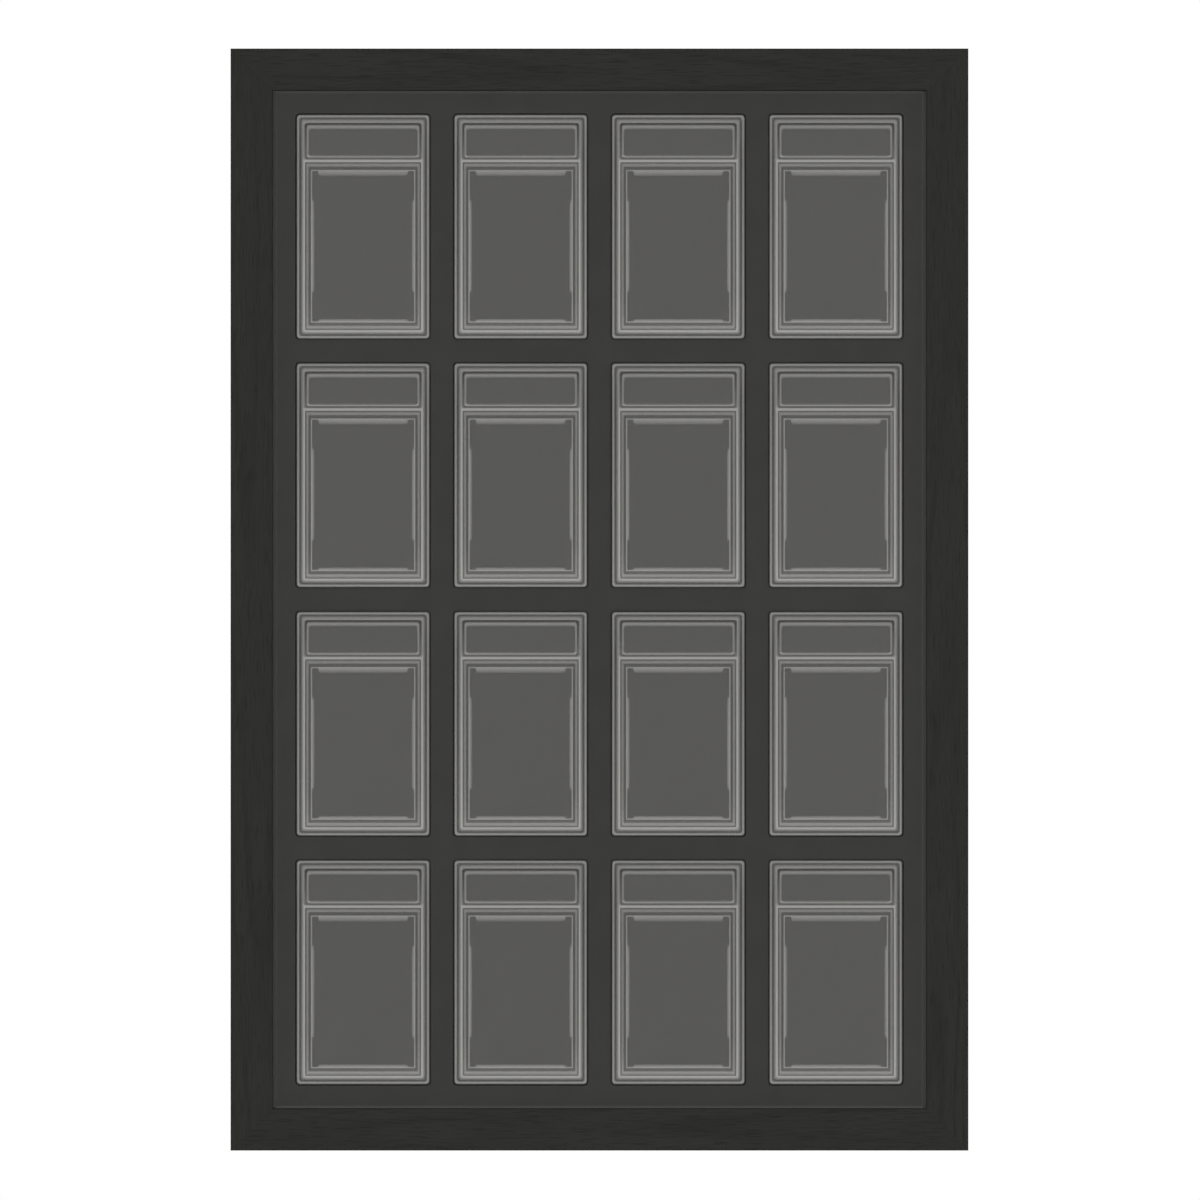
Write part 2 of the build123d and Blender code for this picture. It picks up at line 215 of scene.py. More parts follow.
def buildFloor():
    half = studio["floorSize"] / 2
    signs = ((-1, -1), (1, -1), (1, 1), (-1, 1))
    corners = [(x * half, y * half, studio["floorLevel"]) for x, y in signs]
    mesh = bpy.data.meshes.new("paleFloor")
    mesh.from_pydata(corners, [], [(0, 1, 2, 3)])
    floor = bpy.data.objects.new("paleFloor", mesh)
    bpy.context.scene.collection.objects.link(floor)
    material, tree = newMaterial("paleFloor")
    matt = addNode(tree, "BsdfDiffuse", {"Color": studio["floorColour"]})
    lift = sums(tree, "MULTIPLY", seenDirectly(tree), studio["floorLift"])
    glow = addNode(tree, "Emission", {"Strength": lift})
    finishMaterial(tree, addNode(tree, "AddShader", {0: matt.outputs[0], 1: glow.outputs[0]}))
    mesh.materials.append(material)


def buildLamps():
    for name, (place, width, share) in lamps.items():
        away = Vector(place) - frameCentre
        facing = abs(away.normalized().y)
        light = bpy.data.lights.new(name, "AREA")
        light.shape = "DISK"
        light.size = width
        light.energy = share * (pi * away.length) ** 2 / facing  # light falls off with the distance squared
        lamp = bpy.data.objects.new(name, light)
        lamp.location = place
        lamp.rotation_mode = "QUATERNION"
        lamp.rotation_quaternion = away.to_track_quat("Z", "Y")
        bpy.context.scene.collection.objects.link(lamp)


def buildCamera():
    data = bpy.data.cameras.new("camera")
    data.sensor_width = studio["sensor"]
    data.lens = studio["sensor"] * studio["cameraDistance"] / studio["viewWidth"]
    data.shift_x, data.shift_y = studio["viewShift"]
    camera = bpy.data.objects.new("camera", data)
    camera.location = (frameCentre.x, lowCorner.y - studio["cameraDistance"], frameCentre.z)
    camera.rotation_euler = (radians(90), 0, 0)
    bpy.context.scene.collection.objects.link(camera)
    bpy.context.scene.camera = camera


bpy.context.scene.view_settings.view_transform = "Standard"
buildWorld()
buildFloor()
buildLamps()
buildCamera()
print("studio ready")


# Moulding: open-grained wood under a black stain

moulding = {  # a noise: its waves to the metre along, across and through the grain, detail and roughness
    "tones": (  # open pores, early wood and late wood
        (0.05, fromScreen(23, 23, 21)),
        (0.35, fromScreen(33, 33, 31)),
        (0.85, fromScreen(41, 41, 39)),
    ),
    "deepest": fromScreen(18, 18, 17),  # in open pores and joints
    "middleTone": 0.58,
    "ringSpacing": 0.0034,
    "ringRise": (0.0, 0.35),  # shares of a ring over which the wood turns late, and early again
    "ringFall": (1.0, 0.8),
    "ringMean": 0.6,
    "ringContrast": 0.3,
    "pithDepth": 0.016,  # of the tree's centre behind the middle of the length
    "sway": 0.012,  # how far the rings wander
    "swayNoise": ((9, 30, 30), 2.0),
    "figureNoise": ((16, 24, 24), 1.0),
    "figureRange": (0.42, 0.62, 0.25, 1.0),
    "ripple": 0.003,  # how far the streaks wander
    "rippleNoise": ((110, 60, 60), 1.0),
    "streakNoise": ((50, 760, 760), 3.0, 0.55),
    "clusterNoise": ((24, 110, 110), 1.0),
    "clusterRange": (0.42, 0.66, 0.3, 1.4),
    "poreNoise": ((60, 1500, 1500), 2.0),
    "poreRange": (0.56, 0.68),
    "poreDark": 0.4,
    "mitreGap": 0.00018,
    "mitreDark": 0.05,
    "poreHeight": -0.7,  # shares of the relief, of which the streaks have the whole
    "ringHeight": 0.35,
    "mitreHeight": -0.25,
    "relief": (0.00016, 0.7),  # its height in metres, and how strongly it shows
    "roughness": (0.16, 0.54),  # how much the streaks add, and to what
    "specular": 0.06,
}
members = {  # axis of the grain, how the tree's centre crosses the length, and where the pattern starts
    "rail_top": ("X", 0.030, -0.018, 0.0),
    "rail_bottom": ("X", -0.024, 0.014, 3.7),
    "stile_left": ("Z", 0.034, 0.012, 7.9),
    "stile_right": ("Z", -0.028, -0.016, 11.3),
}


def mitreLine(tree, place):  # 1 on the joints that run in from each outer corner at 45 degrees
    parts = addNode(tree, "SeparateXYZ", {0: place}).outputs
    across = sums(tree, "ABSOLUTE", parts["X"])
    height = sums(tree, "ABSOLUTE", sums(tree, "SUBTRACT", parts["Z"], frameCentre.z))
    excess = (highCorner.x - lowCorner.x - highCorner.z + lowCorner.z) / 2
    offset = sums(tree, "SUBTRACT", sums(tree, "SUBTRACT", across, height), excess)
    gap = moulding["mitreGap"]
    return spread(tree, sums(tree, "ABSOLUTE", offset), 2 * gap, gap)


def stainedWood(name, axis, slantAcross, slantDeep, start):
    m = moulding
    low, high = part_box(name)
    middle = (low + high) / 2
    material, tree = newMaterial(name + "Stain")
    place = objectSpace(tree)
    parts = addNode(tree, "SeparateXYZ", {0: place}).outputs
    along, across = (parts["X"], parts["Z"]) if axis == "X" else (parts["Z"], parts["X"])
    middleAlong, middleAcross = (middle.x, middle.z) if axis == "X" else (middle.z, middle.x)
    along = sums(tree, "SUBTRACT", along, middleAlong - start)
    across = sums(tree, "SUBTRACT", across, middleAcross)
    grain = addNode(tree, "CombineXYZ", {0: along, 1: across, 2: parts["Y"]}).outputs[0]

    # Rings round the tree's centre, which crosses the length at a slant, so that their cut makes arches
    run = sums(tree, "SUBTRACT", along, start)
    sway = swing(tree, noise(tree, grain, *m["swayNoise"]), m["sway"])
    fromCentre = sums(tree, "ADD", sums(tree, "MULTIPLY_ADD", run, slantAcross, across), sway)
    deep = sums(tree, "ADD", sums(tree, "MULTIPLY_ADD", run, slantDeep, parts["Y"]), -m["pithDepth"])
    squares = sums(tree, "MULTIPLY_ADD", fromCentre, fromCentre, sums(tree, "MULTIPLY", deep, deep))
    radius = sums(tree, "POWER", squares, 0.5)
    ring = sums(tree, "FRACT", sums(tree, "DIVIDE", radius, m["ringSpacing"]))
    rings = sums(tree, "MULTIPLY", spread(tree, ring, *m["ringRise"]), spread(tree, ring, *m["ringFall"]))

    # Figure comes and goes along the length, with clusters of short wavy streaks and open pores all over
    figure = spread(tree, noise(tree, grain, *m["figureNoise"]), *m["figureRange"])
    ripple = swing(tree, noise(tree, grain, *m["rippleNoise"]), m["ripple"])
    rippled = sums(tree, "ADD", across, ripple)
    wavy = addNode(tree, "CombineXYZ", {0: along, 1: rippled, 2: parts["Y"]}).outputs[0]
    streaks = noise(tree, wavy, *m["streakNoise"])
    clusters = spread(tree, noise(tree, grain, *m["clusterNoise"]), *m["clusterRange"])
    pores = spread(tree, noise(tree, grain, *m["poreNoise"]), *m["poreRange"])
    fromMean = sums(tree, "SUBTRACT", rings, m["ringMean"])
    contrast = sums(tree, "MULTIPLY", figure, m["ringContrast"])
    tone = sums(tree, "MULTIPLY_ADD", fromMean, contrast, m["middleTone"])
    tone = sums(tree, "MULTIPLY_ADD", sums(tree, "SUBTRACT", streaks, 0.5), clusters, tone)

    joint = mitreLine(tree, place)
    poreDark = sums(tree, "MULTIPLY", pores, m["poreDark"])
    dark = sums(tree, "MAXIMUM", poreDark, sums(tree, "MULTIPLY", joint, m["mitreDark"]))
    height = sums(tree, "MULTIPLY_ADD", rings, m["ringHeight"], streaks)
    height = sums(tree, "MULTIPLY_ADD", pores, m["poreHeight"], height)
    height = sums(tree, "MULTIPLY_ADD", joint, m["mitreHeight"], height)
    finishMaterial(tree, addNode(tree, "BsdfPrincipled", {
        "Base Color": blend(tree, dark, ramp(tree, tone, *m["tones"]), m["deepest"]),
        "Roughness": sums(tree, "MULTIPLY_ADD", streaks, *m["roughness"]),
        "Specular IOR Level": m["specular"],
        "Normal": bump(tree, height, *m["relief"]),
    }))
    return material


for name, facts in members.items():
    dress(stainedWood(name, *facts), name)
print("moulding stained")


# Boards: charcoal mat with a painted light rim, the darker liner behind the pockets, foam and the hardboard
# back

boards = {  # tones are pairs of a place in the pattern and a colour, dark to light
    "matTones": ((0.3, fromScreen(53, 53, 52)), (0.7, fromScreen(60, 60, 58))),
    "linerTones": ((0.3, fromScreen(46, 46, 45)), (0.7, fromScreen(53, 53, 52))),
    "fibreNoise": ((2600, 2600, 2600), 3.0, 0.6),
    "cloudNoise": ((60, 60, 60), 3.0, 0.5),
    "fibreShare": 0.6,
    "cloudShare": 0.4,
    "fibreRelief": (0.00005, 0.6),
    "boardRoughness": 0.92,
    "boardSpecular": 0.08,
    "paintedLightRimColour": fromScreen(76, 76, 74),  # painted light: the mat is painted paler in a narrow rim along the moulding, where the lip shades it
    "paintedLightRimWidth": 0.0022,
    "paintedLightRimAtSides": 0.6,  # how far the sides' distance counts, which makes the painted light rim wider there
    "foamTones": ((0.0, fromScreen(10, 10, 10)), (0.5, fromScreen(20, 20, 21))),
    "foamCells": 1400.0,  # to the metre
    "foamRelief": (0.0003, 0.8),
    "foamRoughness": 0.95,
    "foamSpecular": 0.1,
    "hardboardTones": ((0.3, fromScreen(92, 66, 44)), (0.75, fromScreen(140, 106, 74))),
    "chipNoise": ((420, 420, 420), 4.0, 0.65),
    "patchNoise": ((24, 24, 24), 3.0),
    "chipShare": 0.8,
    "patchShare": 0.22,
    "screenShare": 0.06,
    "screenPitch": 0.0016,  # of the wire mesh that the hardboard was pressed on
    "screenHeight": 0.5,  # against the chips'
    "hardboardRelief": (0.00012, 0.6),
    "hardboardRoughness": (0.2, 0.62),  # how much the chips add, and to what
    "hardboardSpecular": 0.25,
}


def fromSight(tree, place):  # how far inside the moulding's sight edge a point lies
    parts = addNode(tree, "SeparateXYZ", {0: place}).outputs
    sightX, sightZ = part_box("stile_right")[0].x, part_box("rail_top")[0].z - frameCentre.z
    across = sums(tree, "SUBTRACT", sightX, sums(tree, "ABSOLUTE", parts["X"]))
    across = sums(tree, "MULTIPLY", across, boards["paintedLightRimAtSides"])
    height = sums(tree, "ABSOLUTE", sums(tree, "SUBTRACT", parts["Z"], frameCentre.z))
    return sums(tree, "MINIMUM", across, sums(tree, "SUBTRACT", sightZ, height))


def fibreBoard(name, tones, withPaintedLightRim=False):
    b = boards
    material, tree = newMaterial(name)
    place = objectSpace(tree)
    fibres = noise(tree, place, *b["fibreNoise"])
    clouds = sums(tree, "MULTIPLY", noise(tree, place, *b["cloudNoise"]), b["cloudShare"])
    shade = ramp(tree, sums(tree, "MULTIPLY_ADD", fibres, b["fibreShare"], clouds), *tones)
    if withPaintedLightRim:
        # painted light: a paler rim near the sight edge stands in for light where the moulding's lip shades
        # the mat
        paintedLightNearSight = spread(tree, fromSight(tree, place), b["paintedLightRimWidth"], 0.0)
        shade = blend(tree, paintedLightNearSight, shade, b["paintedLightRimColour"])
    finishMaterial(tree, addNode(tree, "BsdfPrincipled", {
        "Base Color": shade,
        "Roughness": b["boardRoughness"],
        "Specular IOR Level": b["boardSpecular"],
        "Normal": bump(tree, fibres, *b["fibreRelief"]),
    }))
    return material


def foam():
    material, tree = newMaterial("blackFoam")
    inputs = {"Vector": objectSpace(tree), "Scale": boards["foamCells"]}
    cells = addNode(tree, "TexVoronoi", inputs).outputs["Distance"]
    finishMaterial(tree, addNode(tree, "BsdfPrincipled", {
        "Base Color": ramp(tree, cells, *boards["foamTones"]),
        "Roughness": boards["foamRoughness"],
        "Specular IOR Level": boards["foamSpecular"],
        "Normal": bump(tree, cells, *boards["foamRelief"]),
    }))
    return material


def hardboard():
    b = boards
    material, tree = newMaterial("hardboardBack")
    place = objectSpace(tree)
    parts = addNode(tree, "SeparateXYZ", {0: place}).outputs
    turns = 2 * pi / b["screenPitch"]
    wires = [sums(tree, "SINE", sums(tree, "MULTIPLY", parts[axis], turns)) for axis in "XZ"]
    screen = sums(tree, "MULTIPLY", *wires)
    chips = noise(tree, place, *b["chipNoise"])
    tone = sums(tree, "MULTIPLY", chips, b["chipShare"])
    tone = sums(tree, "MULTIPLY_ADD", noise(tree, place, *b["patchNoise"]), b["patchShare"], tone)
    tone = sums(tree, "MULTIPLY_ADD", screen, b["screenShare"], tone)
    height = sums(tree, "MULTIPLY_ADD", screen, b["screenHeight"], chips)
    finishMaterial(tree, addNode(tree, "BsdfPrincipled", {
        "Base Color": ramp(tree, tone, *b["hardboardTones"]),
        "Roughness": sums(tree, "MULTIPLY_ADD", chips, *b["hardboardRoughness"]),
        "Specular IOR Level": b["hardboardSpecular"],
        "Normal": bump(tree, height, *b["hardboardRelief"]),
    }))
    return material


dress(fibreBoard("charcoalMat", boards["matTones"], withPaintedLightRim=True), "face_mat")
dress(fibreBoard("charcoalLiner", boards["linerTones"]), "pocket_liner")
dress(foam(), "slab_insert")
dress(hardboard(), "backing_board")
print("boards finished")


# Hardware: brushed steel with a zinc plating, and the rubber bumpers

hardware = {
    "zincTones": ((0.3, fromScreen(104, 105, 103)), (0.7, fromScreen(142, 143, 142))),
    "blotchNoise": ((260, 260, 260), 2.0),
    "blotchShare": 0.6,
    "scratchShare": 0.4,
    "scratchDetail": (3.0, 0.7),
    "scratchRelief": (0.00002, 0.5),
    "zincRoughness": (0.2, 0.26),  # how much the scratches add, and to what
    "rubberTones": ((0.3, fromScreen(22, 22, 22)), (0.7, fromScreen(38, 38, 37))),
    "rubberNoise": ((1800, 1800, 1800), 3.0, 0.6),
    "rubberRelief": (0.00004, 0.5),
    "rubberRoughness": (0.2, 0.55),
    "rubberSpecular": 0.35,
}
scratches = {  # waves to the metre along X, Y and Z
    "button": (900, 900, 120),
    "strap": (1600, 1600, 90),
    "wire": (700, 700, 700),
    "screw": (1500, 1500, 1500),
}


def zincSteel(kind):
    h = hardware
    material, tree = newMaterial(kind + "Steel")
    place = objectSpace(tree)
    lines = noise(tree, place, scratches[kind], *h["scratchDetail"])
    tone = sums(tree, "MULTIPLY", lines, h["scratchShare"])
    tone = sums(tree, "MULTIPLY_ADD", noise(tree, place, *h["blotchNoise"]), h["blotchShare"], tone)
    finishMaterial(tree, addNode(tree, "BsdfPrincipled", {
        "Base Color": ramp(tree, tone, *h["zincTones"]),
        "Metallic": 1.0,
        "Roughness": sums(tree, "MULTIPLY_ADD", lines, *h["zincRoughness"]),
        "Normal": bump(tree, lines, *h["scratchRelief"]),
    }))
    return material


def rubber():
    h = hardware
    material, tree = newMaterial("blackRubber")
    fine = noise(tree, objectSpace(tree), *h["rubberNoise"])
    finishMaterial(tree, addNode(tree, "BsdfPrincipled", {
        "Base Color": ramp(tree, fine, *h["rubberTones"]),
        "Roughness": sums(tree, "MULTIPLY_ADD", fine, *h["rubberRoughness"]),
        "Specular IOR Level": h["rubberSpecular"],
        "Normal": bump(tree, fine, *h["rubberRelief"]),
    }))
    return material


turnButtons = [name for name in cadNodes if name.startswith("turn_button_") and name != "turn_button_screws"]
dress(zincSteel("button"), *turnButtons)
dress(zincSteel("strap"), "hanger_strap_left", "hanger_strap_right")
dress(zincSteel("wire"), "hanger_ring_left", "hanger_ring_right")
dress(zincSteel("screw"), "turn_button_screws", "hanger_screws", "corner_v_nails")
dress(rubber(), "wall_bumper_left", "wall_bumper_right")
print("hardware finished")


# Clear plastic: rays pass straight through, a white share in it catches light, and its surface mirrors a
# little. On the slab fronts that white share also holds painted highlights and shade

plastic = {
    "milkColour": fromScreen(240, 239, 234),
    "milkRoughness": 0.5,
    "milkSpecular": 0.2,
    "innerMilk": 0.027,
    "slabGloss": {"share": 0.0012, "roughness": 0.25},  # even, so that thin walls don't flare
    "sheetGloss": {"index": 1.07, "roughness": 0.03},  # refractive index of a coating that cuts glare
}


def clearPlastic(name, milkAndPaintedLight, gloss=None):
    # The white share is a plain share, or the name of an attribute that holds haze and painted light. Only
    # the faces towards the viewer have a gloss
    material, tree = newMaterial(name)
    if isinstance(milkAndPaintedLight, str):
        milkAndPaintedLight = addNode(tree, "Attribute", attribute_name=milkAndPaintedLight).outputs["Fac"]
    clear = addNode(tree, "BsdfTransparent", {"Color": white})
    milky = addNode(tree, "BsdfPrincipled", {
        "Base Color": plastic["milkColour"],
        "Roughness": plastic["milkRoughness"],
        "Specular IOR Level": plastic["milkSpecular"],
    })
    body = mixShaders(tree, milkAndPaintedLight, clear, milky)
    if gloss:
        inputs = {"Color": white, "Roughness": gloss["roughness"]}
        mirror = addNode(tree, "BsdfGlossy", inputs, distribution="GGX")
        evenly = "share" in gloss
        share = gloss["share"] if evenly else addNode(tree, "Fresnel", {"IOR": gloss["index"]}).outputs[0]
        body = mixShaders(tree, share, body, mirror)
    finishMaterial(tree, body)
    return material


# Rounded plates and recesses are made from loops. Each station of a profile gives half the width, the top,
# the foot and the corner radius of a rounded rectangle, its level towards the viewer, its share of white
# haze and painted light, and how much of its tabs' depth it takes

rounding = {
    "steps": 2,  # edges along each softened corner of a profile
    "mostShare": 0.35,  # of the way to the next corner that the softening may take
    "guard": 1.3,  # where the points that keep the flats flat lie, in softened lengths
    "arcSteps": 5,  # edges round each corner of a loop
    "sharpAngle": 50,  # degrees at which an edge is shaded sharp
}


def station(half, top, foot, radius, level, milkAndPaintedLight=0.0, tab=0.0):
    return (half, top, foot, radius, level, milkAndPaintedLight, tab)


def softened(stations, softness):
    # Each inner corner of the profile becomes a parabola between the points a short way before and after it,
    # with one more point past each end, which keeps the flats beside it flat
    stations = np.asarray(stations, float)
    corner, before, after = stations[1:-1], stations[:-2], stations[2:]

    def towards(other):
        gap = other - corner
        length = np.hypot(np.abs(gap[:, :3]).max(axis=1), gap[:, 4])
        return gap * np.minimum(softness / length, rounding["mostShare"])[:, None]

    back, ahead = towards(before), towards(after)
    times = np.linspace(0, 1, rounding["steps"] + 1)
    bend = [corner + (1 - time) ** 2 * back + time**2 * ahead for time in times]
    guard = rounding["guard"]
    rows = np.stack([corner + guard * back, *bend, corner + guard * ahead], axis=1)
    return np.concatenate([stations[:1], rows.reshape(-1, stations.shape[1]), stations[-1:]])


def loopsOf(stations, tabs=None):
    # A corner's points lie at its centre plus the radius times cosine and sine. A side's points are pushed
    # inwards where a tab widens it. Seen by the viewer, every loop runs anticlockwise
    half, top, foot, radius, level, milkAndPaintedLight, tab = np.asarray(stations, float).T[:, :, None]
    arc = np.linspace(0, pi / 2, rounding["arcSteps"] + 1)[None, :]
    push = np.array([[0.0, 1.0, 1.0, 0.0]]) * tab
    xs, zs = [], []
    for quarter in range(4):
        if tabs:
            slope = tabs["slope"] / tabs["sideHalf"]
            ends = np.array([[-1, slope - 1, 1 - slope, 1]])
            if quarter in (0, 2):
                side = 1 if quarter == 0 else -1
                xs.append(side * (half - push * tabs["sideDepth"]))
                zs.append(tabs["middle"] + side * ends * tabs["sideHalf"] + 0 * half)
            elif "endHalf" in tabs:
                edge, depth = (top, -tabs["topDepth"]) if quarter == 1 else (foot, tabs["footDepth"])
                side = -1 if quarter == 1 else 1
                xs.append(side * ends * tabs["endHalf"] + 0 * half)
                zs.append(edge + push * depth)
        angle = arc + quarter * pi / 2
        cornerX = (half - radius) * (1 if quarter in (0, 3) else -1)
        cornerZ = (top - radius) if quarter in (0, 1) else (foot + radius)
        xs.append(cornerX + radius * np.cos(angle))
        zs.append(cornerZ + radius * np.sin(angle))
    x, z = np.concatenate(xs, axis=1), np.concatenate(zs, axis=1)
    return np.stack([x, np.broadcast_to(-level, x.shape), z], axis=-1), np.broadcast_to(milkAndPaintedLight, x.shape)


def loopOf(one, tabs=None):  # the points of a single loop
    return loopsOf([one], tabs)[0][0]


def bandFaces(rows, columns):  # quads between neighbouring loops, closed round the loop
    starts = np.arange(rows - 1)[:, None] * columns
    here = starts + np.arange(columns)[None, :]
    ahead = starts + (np.arange(columns)[None, :] + 1) % columns
    return np.stack([here, ahead, ahead + columns, here + columns], axis=-1).reshape(-1, 4).tolist()


def band(stations, tabs=None, away=False, cap=True):
    # A skin through a profile's loops, with its last loop filled by a flat face
    points, milkAndPaintedLight = loopsOf(stations, tabs)
    rows, columns = milkAndPaintedLight.shape
    faces = bandFaces(rows, columns)
    if cap:
        faces.append(list(range((rows - 1) * columns, rows * columns)))
    if away:
        faces = [face[::-1] for face in faces]
    return points.reshape(-1, 3), faces, milkAndPaintedLight.reshape(-1)


def land(*loops, milkAndPaintedLight, away=False):
    # A flat face between an outer loop and the holes in it, cut into triangles
    points = np.concatenate(loops)
    flat = [[Vector((x, z, 0)) for x, y, z in loop] for loop in loops]
    faces = np.array(tessellate_polygon(flat))
    first, second, third = (points[faces[:, corner]] for corner in range(3))
    facing = np.cross(second - first, third - first)[:, 1]
    turned = facing < 0 if away else facing > 0
    faces[turned] = faces[turned][:, ::-1]
    return points, faces[np.abs(facing) > 0].tolist(), np.full(len(points), milkAndPaintedLight)


def joined(*patches):
    # Patches share the loops where they meet, so points at one place are made one point
    points, faces, milkAndPaintedLight = [], [], []
    count = 0
    for patchPoints, patchFaces, patchMilk in patches:
        faces += [[count + index for index in face] for face in patchFaces]
        points.append(patchPoints)
        milkAndPaintedLight.append(patchMilk)
        count += len(patchPoints)
    points, milkAndPaintedLight = np.concatenate(points), np.concatenate(milkAndPaintedLight)
    _, first, place = np.unique(np.round(points, 7), axis=0, return_index=True, return_inverse=True)
    place = place.ravel()
    return points[first], [[int(place[index]) for index in face] for face in faces], milkAndPaintedLight[first]


def makePiece(name, points, faces, materials, inner, milkAndPaintedLight=None):
    # The last faces, as many as inner says, take the second material
    mesh = bpy.data.meshes.new(name)
    mesh.from_pydata(points.tolist(), [], faces)
    for material in materials:
        mesh.materials.append(material)
    slots = np.zeros(len(faces), np.int32)
    slots[len(faces) - inner:] = 1
    mesh.polygons.foreach_set("material_index", slots)
    if milkAndPaintedLight is not None:
        values = mesh.attributes.new("milkAndPaintedLight", "FLOAT", "POINT").data
        values.foreach_set("value", milkAndPaintedLight.astype(np.float32))
    mesh.shade_smooth()
    mesh.set_sharp_from_angle(angle=radians(rounding["sharpAngle"]))
    piece = bpy.data.objects.new(name, mesh)
    bpy.context.scene.collection.objects.link(piece)
    return piece


# Glazing: a flat acrylic sheet with eased edges, a hair thinner than its place in the rabbet

glazing = {
    "edgeBevel": 0.0003,
    "flatsFrom": 3,  # bevels in from the edge, where a second rim keeps the faces flat right across
    "cornerRadius": 0.0008,
    "seatGap": 0.00004,
}


def buildGlazing():
    low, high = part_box("glazing_sheet")
    front, back = -low.y - glazing["seatGap"], -high.y + glazing["seatGap"]
    bevel = glazing["edgeBevel"]
    flat = glazing["flatsFrom"] * bevel

    def rim(inset, level):
        return station(high.x - inset, high.z - inset, low.z + inset, glazing["cornerRadius"], level)

    backRims = [rim(flat, back), rim(bevel, back), rim(0, back + bevel)]
    frontRims = [rim(0, front - bevel), rim(bevel, front), rim(flat, front)]
    points, faces, milkAndPaintedLight = band(backRims + frontRims)
    columns = milkAndPaintedLight.size // len(backRims + frontRims)
    faces.append(list(range(columns))[::-1])  # the back, from the first rim
    coated = clearPlastic("coatedAcrylic", 0.0, plastic["sheetGloss"])
    sheet = makePiece("glazingPane", points, faces, [coated, clearPlastic("acrylicBack", 0.0)], inner=1)
    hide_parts("glazing_sheet")
    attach(sheet, "frame")


buildGlazing()
print("glazing cut")


# Slab fronts: moulded cases with a stepped face, their sizes as in the part, with highlights and shade
# painted into their white share

relief = {
    "cornerRadius": 0.002,
    "edgeBevel": 0.0004,
    "ledgeWidth": 0.0024,
    "ledgeShares": (0.37, 0.52, 0.78),  # of its width, where its painted bright edge is in full, ends and has faded
    "ledgeDrop": 0.0009,
    "ridgeSlope": 0.0018,
    "ridgeCrest": 0.001,
    "ridgeRadius": 0.0017,
    "grooveWidth": 0.0007,
    "grooveDepth": 0.00035,
    "windowDrop": 0.0013,
    "labelWindowHeight": 0.0155,
    "labelRadius": 0.0016,
    "labelSideBezel": 0.002,
    "labelTopBezel": 0.0034,
    "labelFootBezel": 0.0016,
    "labelShares": (0.34, 0.56),  # of the way down the label's bezel, where its haze and painted light are set
    "crossbarHeight": 0.0019,
    "barEase": 0.001,  # over which the crest brightens beside the crossbar
    "cardRadius": 0.0006,
    "cardSideBezel": 0.0015,
    "cardTopBezel": 0.0021,
    "cardFootBezel": 0.0023,
    "cardShares": (0.38, 0.74),
    "moatWidth": 0.0012,
    "moatMoreTop": 0.0005,
    "moatMoreFoot": 0.0003,
    "lipWidth": 0.0012,
    "lipHeight": 0.0005,
    "lipBevel": 0.0003,
    "sideTabDepth": 0.0013,
    "sideTabHeight": 0.056,
    "topTabDepth": 0.0027,
    "footTabDepth": 0.0014,
    "endTabWidth": 0.055,
    "tabSlope": 0.0006,
    "cardWidth": 0.0643,  # of the cavity
    "cardHeight": 0.0897,
    "labelPlay": 0.0012,
    "cavityDepth": 0.0009,
    "softness": 0.0002,
    "seamGap": 0.00002,  # between the two shells, which are welded
}
slabMilkAndPaintedLight = {  # share of white, partly haze and mostly painted light: painted highlights where thick, at edges, crests, lips; painted shade in grooves and moat
    "wall": 0.04,
    "bevel": 0.12,
    "edge": 0.20,
    "ledge": 0.011,
    "slope": 0.15,
    "crest": 0.285,
    "labelEndMost": 0.205,  # round the label no painted highlight is brighter than this
    "labelCrest": 0.065,
    "labelGroove": 0.012,
    "labelFrame": 0.01,
    "labelBezel": (0.245, 0.2205),
    "labelFoot": 0.035,
    "labelFootPaintedLight": 0.075,  # painted highlight along the window's lower edge
    "cardCrest": 0.33,
    "cardGroove": 0.08,
    "cardFrame": 0.18,
    "cardBezel": (0.225, 0.2375),
    "moat": 0.055,
    "lip": 0.275,
    "tab": 0.115,
    "window": 0.057,
    "inside": 0.01,
    "paintedEndLight": (0.035, 0.0, 0.0, 0.03),  # painted highlight at the very foot and the very top
    "footReach": (0.009, 0.012),  # from the slab's end, where that is full, and where it has gone
    "topReach": (0.003, 0.006),
    "paintedFootLightGain": 0.12,  # painted light: how much brighter the foot is painted than the middle
    "gainFrom": 0.114,  # places with less white than this are not painted brighter
}


